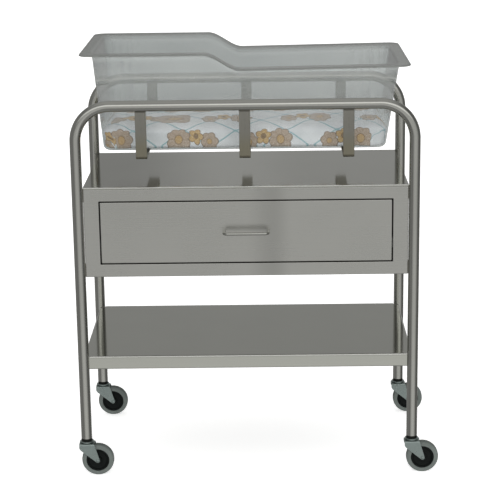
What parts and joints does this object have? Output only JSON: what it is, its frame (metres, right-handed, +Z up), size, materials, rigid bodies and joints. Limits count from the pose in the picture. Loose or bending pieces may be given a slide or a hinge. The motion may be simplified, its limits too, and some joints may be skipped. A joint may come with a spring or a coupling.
{
  "type": "hospital bassinet",
  "caption": "Hospital bassinet trolley: bent-tube frame on swivel casters, drawer cabinet, lower shelf, and a lift-out clear tub with a mattress on strap cradles.",
  "frame": {"origin": "on the floor, under the middle of the whole part's box", "axes": "+Z up, +X along the long side towards the foot end, -Y towards the drawer's front"},
  "size_m": [0.854, 0.4648, 1.003],
  "materials": {
    "brushed_steel": "brushed along the length",
    "satin_tube": "satin polished",
    "strap_steel": "satin",
    "zinc_plate": "dull zinc plate",
    "galvanised": "galvanised",
    "black_plastic": "moulded",
    "grey_rubber": "smooth tread",
    "clear_plastic": "clear, glossy",
    "mattress_cover": "printed, wipe-clean"
  },
  "bodies": {
    "frame": {"front_hoop": "satin_tube", "rear_hoop": "satin_tube", "cradle_strap_left": "strap_steel", "cradle_strap_middle": "strap_steel", "cradle_strap_right": "strap_steel", "cabinet_top": "brushed_steel", "cabinet_face_frame": "brushed_steel", "cabinet_back": "brushed_steel", "cabinet_bottom": "brushed_steel", "cabinet_side_left": "brushed_steel", "cabinet_side_right": "brushed_steel", "runner_bracket_left": "galvanised", "runner_bracket_right": "galvanised", "drawer_channel_left": "galvanised", "drawer_channel_right": "galvanised", "lower_shelf": "brushed_steel", "caster_socket_front_left": "black_plastic", "caster_socket_front_right": "black_plastic", "caster_socket_rear_left": "black_plastic", "caster_socket_rear_right": "black_plastic", "caster_stem_front_left": "zinc_plate", "caster_stem_front_right": "zinc_plate", "caster_stem_rear_left": "zinc_plate", "caster_stem_rear_right": "zinc_plate"},
    "drawer": {"drawer_front": "brushed_steel", "drawer_box": "brushed_steel", "drawer_pull": "satin_tube", "pull_screw_left": "galvanised", "pull_screw_right": "galvanised", "drawer_slide_bar_left": "galvanised", "drawer_slide_bar_right": "galvanised"},
    "tub": {"tub": "clear_plastic"},
    "mattress": {"mattress": "mattress_cover"},
    "caster_front_left": {"caster_fork_front_left": "zinc_plate", "caster_axle_front_left": "zinc_plate"},
    "caster_front_right": {"caster_fork_front_right": "zinc_plate", "caster_axle_front_right": "zinc_plate"},
    "caster_rear_left": {"caster_fork_rear_left": "zinc_plate", "caster_axle_rear_left": "zinc_plate"},
    "caster_rear_right": {"caster_fork_rear_right": "zinc_plate", "caster_axle_rear_right": "zinc_plate"},
    "wheel_front_left": {"caster_hub_front_left": "black_plastic", "caster_tyre_front_left": "grey_rubber"},
    "wheel_front_right": {"caster_hub_front_right": "black_plastic", "caster_tyre_front_right": "grey_rubber"},
    "wheel_rear_left": {"caster_hub_rear_left": "black_plastic", "caster_tyre_rear_left": "grey_rubber"},
    "wheel_rear_right": {"caster_hub_rear_right": "black_plastic", "caster_tyre_rear_right": "grey_rubber"}
  },
  "joints": [
    {"name": "drawer_slide", "type": "slide", "parent": "frame", "child": "drawer", "axis": [0, -1, 0], "range_m": [0, 0.29]},
    {"name": "tub_lift", "type": "slide", "parent": "frame", "child": "tub", "axis": [0, 0, 1], "range_m": [0, 0.25]},
    {"name": "mattress_lift", "type": "slide", "parent": "tub", "child": "mattress", "axis": [0, 0, 1], "range_m": [0, 0.25]},
    {"name": "swivel_front_left", "type": "hinge", "parent": "frame", "child": "caster_front_left", "pos_m": [-0.4095, -0.19895, 0.08], "axis": [0, 0, 1], "continuous": true},
    {"name": "swivel_front_right", "type": "hinge", "parent": "frame", "child": "caster_front_right", "pos_m": [0.3635, -0.19895, 0.08], "axis": [0, 0, 1], "continuous": true},
    {"name": "swivel_rear_left", "type": "hinge", "parent": "frame", "child": "caster_rear_left", "pos_m": [-0.4095, 0.21505, 0.08], "axis": [0, 0, 1], "continuous": true},
    {"name": "swivel_rear_right", "type": "hinge", "parent": "frame", "child": "caster_rear_right", "pos_m": [0.3635, 0.21505, 0.08], "axis": [0, 0, 1], "continuous": true},
    {"name": "roll_front_left", "type": "hinge", "parent": "caster_front_left", "child": "wheel_front_left", "pos_m": [-0.3841, -0.19895, 0.0381], "axis": [0, 1, 0], "continuous": true},
    {"name": "roll_front_right", "type": "hinge", "parent": "caster_front_right", "child": "wheel_front_right", "pos_m": [0.3889, -0.19895, 0.0381], "axis": [0, 1, 0], "continuous": true},
    {"name": "roll_rear_left", "type": "hinge", "parent": "caster_rear_left", "child": "wheel_rear_left", "pos_m": [-0.3841, 0.21505, 0.0381], "axis": [0, 1, 0], "continuous": true},
    {"name": "roll_rear_right", "type": "hinge", "parent": "caster_rear_right", "child": "wheel_rear_right", "pos_m": [0.3889, 0.21505, 0.0381], "axis": [0, 1, 0], "continuous": true}
  ]
}
